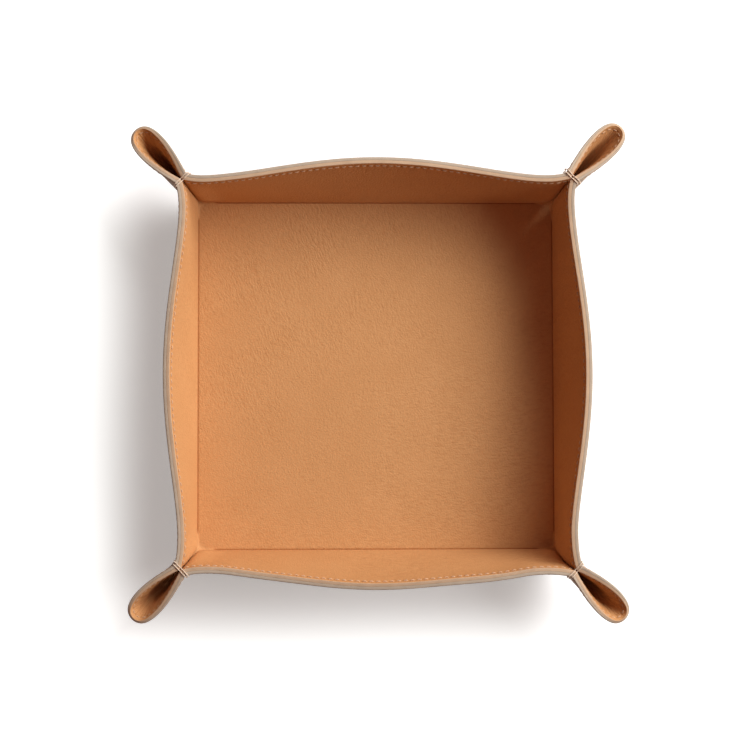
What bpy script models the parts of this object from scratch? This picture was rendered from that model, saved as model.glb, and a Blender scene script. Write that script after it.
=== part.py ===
"""A square leather catch-all tray.

Two square leather layers, an outer one and a lining, are sewn together round the rim over a
stiff base board. The walls fold up along straight creases, and each corner is pinched into an
outward ear, held by a hand-sewn thread tack. The origin is at the middle of the underside, +Z is
up, X runs along the longer side of the base. All lengths are in metres.
"""
import math

import bpy
import numpy as np
from mathutils import Vector

# Layers
lining_thickness = 0.0015
outer_thickness = 0.0015
board_thickness = 0.0010
layer_gap = 0.0003
ear_skive_share = 0.70

# Base, measured on the grain side of the lining
base_length = 0.1752
base_width = 0.1710
base_corner_radius = 0.0100
crease_radius = 0.0008
corner_fold_radius = 0.0060
corner_fold_run = 0.0140
board_inset = 0.0010

# Walls and rim
wall_rise = 0.0395
pinch_reach_x = 0.0041
pinch_reach_y = 0.0055
rim_flare = 0.0030
rim_bow_x = 0.0087
rim_bow_y = 0.0101
bow_power = 1.7
flare_power = 10

# Ears
ear_length = 0.0360
ear_half_width = 0.0051
ear_taper_power = 1.1
ear_drop = 0.0050
ear_drop_power = 1.6
hinge_length = 0.0100
hinge_opening_share = 0.11

# Rim seam
seam_inset = 0.0024
seam_thread = 0.0005
seam_clearance = 0.0003
seam_sides_level = 1

# Corner tacks
tack_thread = 0.0006
tack_pitch = 0.0019
tack_depth = 0.0048
tack_clearance = 0.0003
awl_overrun = 0.0040
awl_sides = 10
tack_span_steps = 2
tack_sides_level = 1

# Mesh steps, as shares of a stretch
wall_shares = (0, 0.22, 0.42, 0.60, 0.75, 0.86, 0.93, 0.97, 1)
ear_shares = (0.06, 0.14, 0.27, 0.43, 0.59, 0.74, 0.87, 0.95, 1)
crease_shares = (0, 1 / 3, 2 / 3, 1)
rise_shares = (0.38, 0.72, 1)
wall_steps = 180
ear_steps = 64

floor_level = outer_thickness + 2 * layer_gap + board_thickness + lining_thickness
rim_level = floor_level + wall_rise
pinch_x = base_length / 2 + pinch_reach_x
pinch_y = base_width / 2 + pinch_reach_y
seam_half_gap = seam_clearance + seam_thread + seam_clearance / 2
pinch_half_gap = seam_half_gap - hinge_opening_share * hinge_length / 2
diagonal = 1 / math.sqrt(2)


def clear_scene():
    for thing in list(bpy.data.objects):
        bpy.data.objects.remove(thing, do_unlink=True)


def make_collection(name):
    collection = bpy.data.collections.new(name)
    bpy.context.scene.collection.children.link(collection)
    return collection


def make_material(name, colour, roughness, metallic=0.0):
    material = bpy.data.materials.new(name)
    material.use_nodes = True
    shader = material.node_tree.nodes["Principled BSDF"]
    shader.inputs["Base Color"].default_value = (*colour, 1)
    shader.inputs["Roughness"].default_value = roughness
    shader.inputs["Metallic"].default_value = metallic
    return material


def evenly(line, steps):
    """The points of a line, placed again at equal distances along it."""
    reached = np.concatenate([[0], np.cumsum(np.linalg.norm(np.diff(line, axis=0), axis=1))])
    places = np.linspace(0, reached[-1], steps + 1)
    return np.column_stack([np.interp(places, reached, values) for values in line.T])


def half_side(base_half, cross_half, pinch_out, pinch_along, rim_bow):
    """One half of a side, from its middle to the tip of the ear, at fine steps.

    Returns the crease line, its outward direction, the rim line and the share of the way along
    the ear. Every point is (out, along): away from the tray's middle and along the side. The wall
    stands on the straight crease, and the ear on half of the rounded corner.
    """
    # The wall's rim bows outwards as a power of a cosine, and flares again just before the pinch.
    wall = np.linspace(0, 1, wall_steps + 1)
    bow = rim_bow * np.cos(wall * math.pi / 2).clip(0) ** bow_power
    flare = (rim_flare + pinch_half_gap / diagonal) * wall ** flare_power
    rim_wall = np.column_stack([pinch_out - rim_flare + bow + flare, pinch_along * wall])

    # The ear's rim is a teardrop along the diagonal, from the pinch to a round tip.
    reach = np.sin(np.linspace(0, 1, 4 * ear_steps + 1) * math.pi / 2)
    widest = 2 * ear_taper_power / (1 + 2 * ear_taper_power)
    full = math.sqrt(1 - widest) * widest ** ear_taper_power
    width = ear_half_width / full * np.sqrt(1 - reach) * reach ** ear_taper_power
    width = width + pinch_half_gap * np.sqrt(1 - reach)
    ahead = pinch_half_gap + ear_length * reach
    rim_ear = np.column_stack([pinch_out + (ahead + width) * diagonal,
                               pinch_along + (ahead - width) * diagonal, reach])

    rim_wall = evenly(rim_wall, wall_steps)
    rim_ear = evenly(rim_ear, ear_steps)
    turn = np.linspace(0, math.pi / 4, ear_steps + 1)
    straight = cross_half - base_corner_radius
    crease_wall = np.column_stack([np.full(wall_steps + 1, base_half), straight * wall])
    crease_ear = np.column_stack([base_half - base_corner_radius * (1 - np.cos(turn)),
                                  straight + base_corner_radius * np.sin(turn)])
    crease = np.concatenate([crease_wall, crease_ear[1:]])
    turns = np.concatenate([np.zeros(wall_steps), turn])
    outward = np.column_stack([np.cos(turns), np.sin(turns)])
    rim = np.concatenate([rim_wall, rim_ear[1:, :2]])
    reach = np.concatenate([np.zeros(wall_steps), rim_ear[:, 2]])
    return crease, outward, rim, reach


def turned(values, sign_x, sign_y, backwards):
    """A quarter of the ring mirrored into another quarter, without its last step."""
    part = values[::-1] if backwards else values
    if part.ndim == 2:
        part = part * np.array([sign_x, sign_y])
    return part[:-1]


def fine_ring():
    """The crease and the rim all round the tray, at fine steps, starting at the middle of +X.

    Each quarter is the half side of the X wall followed by that of the Y wall turned round. The
    rim is then averaged over the hinge length, which rounds the turn from each wall to its ear.
    """
    half_x = half_side(base_length / 2, base_width / 2, pinch_x, pinch_y, rim_bow_x)
    half_y = half_side(base_width / 2, base_length / 2, pinch_y, pinch_x, rim_bow_y)
    ring = []
    for x_side, y_side in zip(half_x, half_y):
        swapped = y_side[:, ::-1] if y_side.ndim == 2 else y_side
        quarter = np.concatenate([x_side[:-1], swapped[::-1]])
        ring.append(np.concatenate([
            turned(quarter, 1, 1, False), turned(quarter, -1, 1, True),
            turned(quarter, -1, -1, False), turned(quarter, 1, -1, True)]))
    crease, outward, rim, reach = ring
    drop = ear_drop * reach ** ear_drop_power
    rim = np.column_stack([rim, rim_level - drop])
    half_window = max(1, round(hinge_length / 2 / pinch_y * wall_steps))
    offsets = np.arange(-half_window, half_window + 1)
    weights = np.cos(offsets / (half_window + 1) * math.pi / 2) ** 2
    weights = weights / weights.sum()
    rim = sum(weight * np.roll(rim, shift, axis=0) for weight, shift in zip(weights, offsets))
    return crease, outward, rim, reach


def corner_share():
    """How far each fine step is into a corner: 0 along the straight creases, 1 in the ears."""
    steps = np.arange(wall_steps + ear_steps + 1)
    from_pinch = (wall_steps - steps) / wall_steps * pinch_y
    share = np.clip(1 - from_pinch / corner_fold_run, 0, 1)
    share = share * share * (3 - 2 * share)
    quarter = np.concatenate([share[:-1], share[::-1]])
    return np.tile(np.concatenate([quarter[:-1], quarter[::-1][:-1]]), 2)


crease_line, crease_out, rim_line, ear_reach = fine_ring()
in_corner = corner_share()
ring_count = len(rim_line)


def surface(level):
    """The grain face of the lining at one level, for every fine step round the tray.

    Levels 0 to 1 follow the crease, a curve from the flat base to the wall that is tight along
    the sides and wide in the corners. Levels 1 to 2 run straight up to the rim.
    """
    floor = np.full(ring_count, floor_level)
    corner = np.column_stack([crease_line, floor])
    inward = np.column_stack([-crease_out, np.zeros(ring_count)])
    up = rim_line - corner
    up = up / np.linalg.norm(up, axis=1, keepdims=True)
    radius = (crease_radius + (corner_fold_radius - crease_radius) * in_corner)[:, None]
    start = corner + inward * radius
    end = corner + up * radius
    if level <= 1:
        return (1 - level) ** 2 * start + 2 * level * (1 - level) * corner + level ** 2 * end
    return end + (rim_line - end) * (level - 1)


def outward_normals(level):
    """The direction away from the inside of the tray, square to the grain face, at one level."""
    step = 1 / wall_steps
    low, high = max(level - step, 0), min(level + step, 2)
    climb = surface(high) - surface(low)
    here = surface(level)
    along = np.roll(here, -1, axis=0) - np.roll(here, 1, axis=0)
    normals = np.cross(along, climb)
    normals = normals / np.linalg.norm(normals, axis=1, keepdims=True)
    if level == 0:
        normals = np.tile([0.0, 0.0, -1.0], (ring_count, 1))
    return normals


def skive(level):
    """The share of the full leather thickness: less in the corners, where it is pared to fold."""
    height = min(level, 1)
    return 1 - (1 - ear_skive_share) * in_corner * height


def offset_surface(level, distance):
    """The surface that lies outside the grain face by a distance, at one level."""
    distances = np.broadcast_to(distance, ring_count)[:, None]
    return surface(level) + outward_normals(level) * distances


def outer_offset(level):
    """How far the outer leather's inner face lies outside the grain face of the lining."""
    under_base = layer_gap + board_thickness
    return lining_thickness * skive(level) + layer_gap + under_base * max(1 - level, 0)


def outer_face_offset(level):
    """How far the outer leather's outer face lies outside the grain face of the lining."""
    return outer_offset(level) + outer_thickness * skive(level)


def mesh_steps():
    """The fine steps that the meshes use: the wall's shares and the ear's shares of each side."""
    half = [round(share * wall_steps) for share in wall_shares]
    half += [wall_steps + round(share * ear_steps) for share in ear_shares]
    quarter_steps = 2 * (wall_steps + ear_steps)
    quarter = half + [quarter_steps - step for step in half[-2::-1]]
    return np.array([side * quarter_steps + step for side in range(4) for step in quarter[:-1]])


ring_steps = mesh_steps()
levels = list(crease_shares) + [1 + share for share in rise_shares]


def make_shell(name, ring_at, thickness, material, collection):
    """An open sheet of rings, closed at the bottom by one flat face, thickened outwards.

    The cells between rings are split the same way in every shell, and alike in mirrored halves.
    """
    rings = [ring_at(level)[ring_steps] for level in levels]
    count = len(ring_steps)
    points = np.concatenate(rings)
    faces = [tuple(range(count))[::-1]]
    for row in range(len(levels) - 1):
        low, high = row * count, (row + 1) * count
        for column in range(count):
            after = (column + 1) % count
            if column * 8 // count % 2:
                faces.append((low + column, low + after, high + after))
                faces.append((low + column, high + after, high + column))
            else:
                faces.append((low + column, low + after, high + column))
                faces.append((low + after, high + after, high + column))
    mesh = bpy.data.meshes.new(name)
    mesh.from_pydata([tuple(point) for point in points], [], faces)
    mesh.validate()
    mesh.materials.append(material)
    shell = bpy.data.objects.new(name, mesh)
    collection.objects.link(shell)

    full = shell.vertex_groups.new(name="full_thickness")
    for row, level in enumerate(levels):
        weights = (skive(level)[ring_steps] - ear_skive_share) / (1 - ear_skive_share)
        for column, weight in enumerate(weights):
            full.add([row * count + column], float(np.clip(weight, 0, 1)), "REPLACE")
    solidify = shell.modifiers.new("thickness", "SOLIDIFY")
    solidify.thickness = thickness
    solidify.offset = 1
    solidify.vertex_group = full.name
    solidify.thickness_vertex_group = ear_skive_share
    solidify.use_even_offset = False
    mesh.shade_smooth()
    return shell


def make_tube(name, points, diameter, closed, sides_level, material, collection):
    """A thread: a round tube along the points."""
    curve = bpy.data.curves.new(name, "CURVE")
    curve.dimensions = "3D"
    curve.bevel_depth = diameter / 2
    curve.bevel_resolution = sides_level
    curve.use_fill_caps = not closed
    spline = curve.splines.new("POLY")
    spline.points.add(len(points) - 1)
    for spline_point, point in zip(spline.points, points):
        spline_point.co = (*point, 1)
    spline.use_cyclic_u = closed
    curve.materials.append(material)
    collection.objects.link(bpy.data.objects.new(name, curve))


def make_board(material, collection):
    """The stiff board between the layers: a flat plate inside the crease line."""
    radius = crease_radius + (corner_fold_radius - crease_radius) * in_corner
    outline = crease_line - crease_out * (radius + board_inset)[:, None]
    curve = bpy.data.curves.new("base_board", "CURVE")
    curve.dimensions = "2D"
    curve.fill_mode = "BOTH"
    curve.extrude = board_thickness / 2
    spline = curve.splines.new("POLY")
    chosen = outline[ring_steps]
    spline.points.add(len(chosen) - 1)
    for spline_point, point in zip(spline.points, chosen):
        spline_point.co = (*point, 0, 1)
    spline.use_cyclic_u = True
    curve.materials.append(material)
    board = bpy.data.objects.new("base_board", curve)
    board.location = (0, 0, outer_thickness + layer_gap + board_thickness / 2)
    collection.objects.link(board)


def seam_line(face_offset, lift):
    """The seam's line round the rim, a fixed way below the edge of a face.

    The face lies outside the grain face by its offset at each level, and the line is lifted off it.
    """
    edge, below = (offset_surface(level, face_offset(level)) for level in levels[:-3:-1])
    drop = below - edge
    drop = drop / np.linalg.norm(drop, axis=1, keepdims=True)
    return (edge + drop * seam_inset + outward_normals(2) * lift)[ring_steps]


def make_seams(material, collection):
    """The rim seam: one closed thread on the grain face and one on the outer face."""
    lift = seam_clearance + seam_thread / 2
    make_tube("needle_thread", seam_line(lambda level: 0, -lift), seam_thread, True,
              seam_sides_level, material, collection)
    make_tube("bobbin_thread", seam_line(outer_face_offset, lift), seam_thread, True,
              seam_sides_level, material, collection)


def corner_frame(points):
    """Points of the +X +Y corner as (along the ear, towards the X wall, height) from the pinch."""
    out, along = points[:, 0] - pinch_x, points[:, 1] - pinch_y
    return np.column_stack([(out + along) * diagonal, (out - along) * diagonal, points[:, 2]])


def outer_face():
    """The outer face of the X wall and half its ear, as points of the corner frame."""
    rows = [offset_surface(level, outer_face_offset(level))
            for level in np.linspace(1, 2, ear_steps)]
    half = slice(wall_steps // 2, wall_steps + ear_steps + 1)
    return corner_frame(np.concatenate([row[half] for row in rows]))


def reach_beside(face, place, height):
    """How far from the diagonal the outer face reaches beside a strand of a tack."""
    beside = tack_thread / 2 + tack_clearance
    reaches = []
    for shift in (-beside, 0, beside):
        misses = np.hypot(face[:, 0] - place - shift, face[:, 2] - height)
        reaches.append(face[np.argmin(misses), 1])
    return max(reaches)


def smooth_route(points):
    """A smooth line through the points, with a few steps in each span."""
    padded = [2 * points[0] - points[1], *points, 2 * points[-1] - points[-2]]
    line = []
    for before, start, end, after in zip(padded, padded[1:], padded[2:], padded[3:]):
        for step in range(tack_span_steps):
            t = step / tack_span_steps
            line.append(0.5 * (2 * start + (end - before) * t
                        + (2 * before - 5 * start + 4 * end - after) * t * t
                        + (3 * start - before - 3 * end + after) * t ** 3))
    line.append(points[-1])
    return line


def tack_route():
    """The route of a tack in the corner frame: two turns through both walls and over the rims.

    Its ends stay in the awl holes, and between the turns it crosses the gap between the walls.
    """
    radius = tack_thread / 2
    face = outer_face()
    near_pinch = face[np.abs(face[:, 0]) < tack_pitch]
    hole_level = rim_level - tack_depth
    seam_level = rim_level - seam_inset
    over_rim = near_pinch[:, 2].max() + tack_clearance + radius
    route = []
    for place in (-tack_pitch / 2, tack_pitch / 2):
        at_hole = reach_beside(face, place, hole_level)
        at_seam = reach_beside(face, place, seam_level)
        at_rim = reach_beside(face, place, rim_level)
        off_hole = at_hole + tack_clearance + radius
        off_seam = at_seam + seam_thread + 2 * seam_clearance + radius
        in_wall = at_hole - outer_thickness * ear_skive_share
        grain_face = in_wall - layer_gap - lining_thickness * ear_skive_share
        in_gap = grain_face - tack_clearance - radius
        turn = [(in_gap, hole_level), (grain_face, hole_level), (in_wall, hole_level),
                (at_hole, hole_level),
                (off_hole + radius, hole_level + radius), (off_seam, seam_level),
                (at_rim + radius, over_rim), (0, over_rim)]
        for across, height in turn:
            route.append(Vector((place, across, height)))
        for across, height in turn[-2::-1]:
            route.append(Vector((place, -across, height)))
        if place < 0:
            route.append(Vector((0, 0, hole_level)))
    return route[2:-2]


def route_gap(line):
    """The least gap between two stretches of a tack's thread that lie apart along it."""
    places = np.array([tuple(point) for point in line])
    steps = np.concatenate([[0], np.cumsum(np.linalg.norm(np.diff(places, axis=0), axis=1))])
    apart = np.linalg.norm(places[:, None] - places[None], axis=2)
    far_along = np.abs(steps[:, None] - steps[None]) > 4 * tack_thread
    return apart[far_along].min() - tack_thread


def in_tray(point, sign_x, sign_y):
    """A point of the corner frame in the tray's own frame, in the corner that the signs name."""
    out = pinch_x + (point[0] + point[1]) * diagonal
    along = pinch_y + (point[0] - point[1]) * diagonal
    return Vector((sign_x * out, sign_y * along, point[2]))


def make_tacks(material, collection):
    """The four corner tacks: one thread each, wound twice over both rims at the pinch."""
    line = smooth_route(tack_route())
    print("least gap of a tack's thread to itself: %.2f mm" % (route_gap(line) * 1000))
    corners = {"back_right": (1, 1), "back_left": (-1, 1), "front_left": (-1, -1), "front_right": (1, -1)}
    for corner, (sign_x, sign_y) in corners.items():
        points = [in_tray(point, sign_x, sign_y) for point in line]
        make_tube("corner_tack_" + corner, points, tack_thread, False, tack_sides_level,
                  material, collection)


def make_awl_holes(shells, collection):
    """The holes that the tacks pass through: two round cuts through both walls at each pinch."""
    radius = tack_thread / 2 + tack_clearance
    reach = reach_beside(outer_face(), 0, rim_level - tack_depth) + awl_overrun
    for sign_x in (-1, 1):
        for sign_y in (-1, 1):
            for place in (-tack_pitch / 2, tack_pitch / 2):
                middle = in_tray((place, 0, rim_level - tack_depth), sign_x, sign_y)
                bpy.ops.mesh.primitive_cylinder_add(vertices=awl_sides, radius=radius,
                                                    depth=2 * reach, location=middle)
                cutter = bpy.context.object
                cutter.name = "awl_cut"
                across = Vector((sign_x, -sign_y, 0))
                cutter.rotation_euler = across.to_track_quat("Z", "Y").to_euler()
                cutter.hide_render = True
                cutter.display_type = "WIRE"
                for holder in list(cutter.users_collection):
                    holder.objects.unlink(cutter)
                collection.objects.link(cutter)
                for shell in shells:
                    cut = shell.modifiers.new("awl hole", "BOOLEAN")
                    cut.object = cutter
                    cut.operation = "DIFFERENCE"
                    cut.solver = "EXACT"


clear_scene()
tray = make_collection("leather_tray")
cutters = make_collection("cutters")

lining_leather = make_material("lining_tan_leather", (0.66, 0.33, 0.15), 0.55)
outer_leather = make_material("outer_taupe_leather", (0.42, 0.33, 0.25), 0.6)
stiff_board = make_material("grey_board", (0.30, 0.28, 0.25), 0.9)
linen_thread = make_material("linen_thread", (0.80, 0.62, 0.45), 0.7)

lining = make_shell("lining_leather", surface, lining_thickness, lining_leather, tray)
outer = make_shell("outer_leather", lambda level: offset_surface(level, outer_offset(level)),
                   outer_thickness, outer_leather, tray)
make_board(stiff_board, tray)
make_seams(linen_thread, tray)
make_tacks(linen_thread, tray)
make_awl_holes((lining, outer), cutters)
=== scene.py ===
"""The leather tray: a tan lining and a taupe outer layer, folded over a board and tacked at the corners."""
import math

import bpy
import numpy as np
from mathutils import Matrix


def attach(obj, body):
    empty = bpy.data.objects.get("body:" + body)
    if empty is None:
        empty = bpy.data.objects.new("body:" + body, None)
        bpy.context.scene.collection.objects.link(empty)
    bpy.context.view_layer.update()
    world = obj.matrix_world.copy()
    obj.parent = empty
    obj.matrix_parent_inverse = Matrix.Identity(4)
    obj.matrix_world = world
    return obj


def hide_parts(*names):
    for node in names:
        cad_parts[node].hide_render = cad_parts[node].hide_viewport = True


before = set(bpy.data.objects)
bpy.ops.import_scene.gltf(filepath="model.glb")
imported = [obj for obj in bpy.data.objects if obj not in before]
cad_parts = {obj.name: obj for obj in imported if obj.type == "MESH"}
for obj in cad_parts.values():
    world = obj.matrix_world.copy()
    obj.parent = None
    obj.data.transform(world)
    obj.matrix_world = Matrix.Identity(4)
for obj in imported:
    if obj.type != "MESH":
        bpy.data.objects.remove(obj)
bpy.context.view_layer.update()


# The lining: one square of vegetable-tanned cowhide, 1.5 mm thick, grain side in. It is creased
# along the edges of the board, folded up into walls and pinched into an outward ear at each
# corner, where it is pared thinner. Its edge is cut square and burnished.

lining_thickness = 0.0015
outer_thickness = 0.0015
board_thickness = 0.0010
layer_gap = 0.0003
ear_tip_share = 0.50
pare_power = 0.8
base_length = 0.1752
base_width = 0.1710
base_corner_radius = 0.0050
crease_radius = 0.0008
corner_fold_radius = 0.0012
corner_fold_run = 0.0060
crease_depth = 0.00030
crease_mark_width = 0.26
crease_fade_rate = 1.3
wall_rise = 0.0395
pinch_reach_x = 0.0041
pinch_reach_y = 0.0055
rim_flare = 0.0030
rim_bow_x = 0.0087
rim_bow_y = 0.0101
bow_power = 1.7
flare_power = 10
ear_length = 0.0360
ear_half_width = 0.0051
ear_taper_power = 1.1
ear_drop = 0.0050
ear_drop_power = 1.6
hinge_length = 0.0100
pinch_round = 0.0020
pinch_half_gap = 0.0001
pinch_ear_share = 0.5
pleat_run = 0.0060
pleat_share = 0.88
ear_pleat_share = 0.45
pleat_rim_rate = 5
pleat_foot_levels = 0.3
seam_inset = 0.0024
seam_depth = 0.00012
seam_groove_width = 0.0005
inner_edge_radius = 0.00030
outer_edge_radius = 0.00070
joint_edge_radius = 0.00012
joint_gap = 0.00004
edge_slant = 0.16
slant_from_level = 1.8
slant_rate = 6
arc_points = 6
wall_steps = 180
ear_steps = 64
floor_level = outer_thickness + 2 * layer_gap + board_thickness + lining_thickness
rim_level = floor_level + wall_rise
pinch_x = base_length / 2 + pinch_reach_x
pinch_y = base_width / 2 + pinch_reach_y
diagonal = 1 / math.sqrt(2)


def evenly(line, steps):
    """The points of a line, placed again at equal distances along it."""
    reached = np.concatenate([[0], np.cumsum(np.linalg.norm(np.diff(line, axis=0), axis=1))])
    places = np.linspace(0, reached[-1], steps + 1)
    return np.column_stack([np.interp(places, reached, values) for values in line.T])


def smooth_share(values):
    """0 below 0, 1 above 1, and 3 v squared minus 2 v cubed between."""
    values = np.clip(values, 0, 1)
    return values * values * (3 - 2 * values)


def hump(values, middle, width):
    """A bell: e to the minus square of the distance from the middle, in widths."""
    return np.exp(-((values - middle) / width) ** 2)


def half_side(base_half, cross_half, pinch_out, pinch_along, rim_bow):
    """Crease, its outward direction, rim and ear share from the middle of a side to an ear's tip.

    The wall's rim stands outwards by rim_bow times a power of a cosine, plus a flare at the
    pinch. The ear's rim is a teardrop: its half width is the root of (1 - reach) times a power
    of reach, and reach runs as a sine from the pinch to the tip.
    """
    wall = np.linspace(0, 1, wall_steps + 1)
    bow = rim_bow * np.cos(wall * math.pi / 2).clip(0) ** bow_power
    flare = (rim_flare + pinch_half_gap / diagonal) * wall ** flare_power
    rim_wall = np.column_stack([pinch_out - rim_flare + bow + flare, pinch_along * wall])
    reach = np.sin(np.linspace(0, 1, 4 * ear_steps + 1) * math.pi / 2)
    widest = 2 * ear_taper_power / (1 + 2 * ear_taper_power)
    full = math.sqrt(1 - widest) * widest ** ear_taper_power
    width = ear_half_width / full * np.sqrt(1 - reach) * reach ** ear_taper_power
    width = width + pinch_half_gap * np.sqrt(1 - reach)
    ahead = pinch_half_gap + ear_length * reach
    rim_ear = np.column_stack([pinch_out + (ahead + width) * diagonal,
                               pinch_along + (ahead - width) * diagonal, reach])
    rim_wall = evenly(rim_wall, wall_steps)
    rim_ear = evenly(rim_ear, ear_steps)
    turn = np.linspace(0, math.pi / 4, ear_steps + 1)
    straight = cross_half - base_corner_radius
    crease_wall = np.column_stack([np.full(wall_steps + 1, base_half), straight * wall])
    crease_ear = np.column_stack([base_half - base_corner_radius * (1 - np.cos(turn)),
                                  straight + base_corner_radius * np.sin(turn)])
    turns = np.concatenate([np.zeros(wall_steps), turn])
    return (np.concatenate([crease_wall, crease_ear[1:]]),
            np.column_stack([np.cos(turns), np.sin(turns)]),
            np.concatenate([rim_wall, rim_ear[1:, :2]]),
            np.concatenate([np.zeros(wall_steps), rim_ear[:, 2]]))


def ring_of(x_half, y_half):
    """A closed ring from the X half side and the Y half side, mirrored into the four quarters."""
    swapped = y_half[:, ::-1] if y_half.ndim == 2 else y_half
    quarter = np.concatenate([x_half[:-1], swapped[::-1]])
    parts = []
    for signs, backwards in (((1, 1), False), ((-1, 1), True), ((-1, -1), False), ((1, -1), True)):
        part = quarter[::-1] if backwards else quarter
        parts.append((part * np.array(signs) if part.ndim == 2 else part)[:-1])
    return np.concatenate(parts)


x_side = half_side(base_length / 2, base_width / 2, pinch_x, pinch_y, rim_bow_x)
y_side = half_side(base_width / 2, base_length / 2, pinch_y, pinch_x, rim_bow_y)
crease_flat, crease_out, rim_flat, ear_reach = (ring_of(*pair) for pair in zip(x_side, y_side))
around = len(crease_flat)


def rounded(values, length):
    """Values round the ring, each averaged with its neighbours over a length of the rim, under
    a squared cosine."""
    window = round(length / 2 / pinch_y * wall_steps)
    shifts = np.arange(-window, window + 1)
    weights = np.cos(shifts / (window + 1) * math.pi / 2) ** 2
    return sum(weight * np.roll(values, shift, axis=-2)
               for weight, shift in zip(weights / weights.sum(), shifts))


sharp_rim = np.column_stack([rim_flat, rim_level - ear_drop * ear_reach ** ear_drop_power])
at_pinch = (1 - smooth_share(ear_reach / pinch_ear_share))[:, None]
rim_line = (at_pinch * rounded(sharp_rim, pinch_round)
            + (1 - at_pinch) * rounded(sharp_rim, hinge_length))
half_steps = np.arange(wall_steps + ear_steps + 1)
half_share = smooth_share(1 - (wall_steps - half_steps) / wall_steps * pinch_y / corner_fold_run)
in_corner = ring_of(half_share, half_share)
past_pinch = (half_steps - wall_steps) / wall_steps * pinch_y
half_pleat = np.where(past_pinch < 0, hump(past_pinch, 0, pleat_run),
                      ear_pleat_share + (1 - ear_pleat_share) * hump(past_pinch, 0, 2 * pleat_run))
near_pinch = ring_of(half_pleat, half_pleat)

crease_line = np.column_stack([crease_flat, np.full(around, floor_level)])
crease_in = np.column_stack([-crease_out, np.zeros(around)])
wall_span = rim_line - crease_line
wall_up = wall_span / np.linalg.norm(wall_span, axis=1, keepdims=True)
fold_radius = (crease_radius + (corner_fold_radius - crease_radius) * in_corner)[:, None]
fold_start, fold_end = crease_line + crease_in * fold_radius, crease_line + wall_up * fold_radius
wall_length = np.linalg.norm(rim_line - fold_end, axis=1)
run_steps = np.linalg.norm(np.roll(rim_line, -1, axis=0) - rim_line, axis=1)
rim_run = np.concatenate([[0], np.cumsum(run_steps)])


def pleated(points, level):
    """Points drawn towards the corner's diagonal below the rim, where the tack pulls the fold
    shut: sideways distance times one minus a share that is full between rim and crease."""
    side = np.sign(rim_flat)
    lean = (base_length - base_width) / 2 + pinch_y - pinch_x
    sideways = (points[..., 0] * side[:, 0] - pinch_x) - (points[..., 1] * side[:, 1] - pinch_y)
    sideways = (sideways - lean * (2 - level)) / 2
    full = smooth_share((2 - level) * pleat_rim_rate) * smooth_share((level - 1) / pleat_foot_levels)
    drawn = sideways * pleat_share * near_pinch * full
    moved = points.copy()
    moved[..., 0] -= drawn * side[:, 0]
    moved[..., 1] += drawn * side[:, 1]
    return moved


def bend(level):
    """The grain face of the lining, for rows of levels by the steps round the tray.

    Levels -1 to 0 grow from the middle of the base to the crease, 0 to 1 turn the crease as a
    quadratic curve, and 1 to 2 run straight up to the rim.
    """
    turn = np.clip(level, 0, 1)[..., None]
    points = (1 - turn) ** 2 * fold_start + 2 * turn * (1 - turn) * crease_line + turn ** 2 * fold_end
    points[..., :2] *= 1 + np.minimum(level, 0)[..., None]
    points = points + (rim_line - fold_end) * np.maximum(level - 1, 0)[..., None]
    return pleated(points, level)


def away(level):
    """The direction square to the grain face, away from the inside of the tray: the cross
    product of the step round the tray and the step up the wall, averaged over the hinge."""
    nudge = 1 / wall_steps
    climb = bend(np.minimum(level + nudge, 2)) - bend(np.maximum(level - nudge, 0))
    here = bend(np.maximum(level, 0))
    along = np.roll(here, -1, axis=-2) - np.roll(here, 1, axis=-2)
    normals = np.cross(along, climb)
    normals = rounded(normals / np.linalg.norm(normals, axis=-1, keepdims=True), hinge_length)
    normals = normals / np.linalg.norm(normals, axis=-1, keepdims=True)
    return np.where(level[..., None] > 0, normals, [0.0, 0.0, -1.0])


def leather(level, distance):
    """Points that lie a distance outside the grain face, for rows of levels and distances.

    Near the rim they also climb by a share of the distance, as the edge is trimmed nearly level.
    """
    climb = edge_slant * distance * smooth_share((level - slant_from_level) * slant_rate)
    return bend(level) + away(level) * distance[..., None] + wall_up * climb[..., None]


def pared(level):
    """The share of the full leather thickness that is left: the ears are pared towards the tip."""
    return 1 - (1 - ear_tip_share) * ear_reach ** pare_power * np.clip(level, 0, 1)


def below_rim(drop):
    """The levels that lie a drop below the rim, for each step round the tray."""
    return 2 - drop / wall_length


def rows_of(*stations):
    """Rows of levels and of distances: each station is a level and a distance, as one number or
    as one for each step round the tray."""
    levels = np.array([np.broadcast_to(level, around) for level, _ in stations])
    distances = np.array([np.broadcast_to(distance, around) for _, distance in stations])
    return levels, distances


def edge_arc(offset, radius, opening):
    """Stations round one rounded corner of the cut edge: level and distance along a quarter circle.

    An opening arc climbs from the face to the edge, and a closing one goes down the other face.
    """
    turns = np.linspace(0, math.pi / 2, arc_points)
    towards = 1 if opening else -1
    return [(below_rim(radius * (1 - math.sin(turn))), offset + towards * radius * (1 - math.cos(turn)))
            for turn in turns[::towards]]


# Steps that the meshes use: every fourth along the walls, every second near a pinch, all in the ears.
fine_from = 136
half_chosen = np.concatenate([np.arange(0, fine_from, 4), np.arange(fine_from, wall_steps, 2),
                              np.arange(wall_steps, wall_steps + ear_steps + 1)])
quarter_steps = 2 * (wall_steps + ear_steps)
quarter_chosen = np.concatenate([half_chosen, quarter_steps - half_chosen[-2::-1]])
chosen = np.concatenate([side * quarter_steps + quarter_chosen[:-1] for side in range(4)])
face_levels = np.concatenate([np.linspace(0.02, 0.9, 16) - 1, [-0.06, -0.035, -0.02, -0.01],
                              np.linspace(0, 1, 15), np.linspace(1.04, 1.86, 19)])
seam_drops = (0.0046, 0.0038, 0.0033, 0.0029, 0.0026, 0.0024, 0.0022, 0.0019, 0.0015, 0.0011, 0.0008)
back_levels = (1.8, 1.55, 1.3, 1.12, 1, 0.8, 0.6, 0.4, 0.2, 0, -0.06, -0.5, -0.98)
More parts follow.
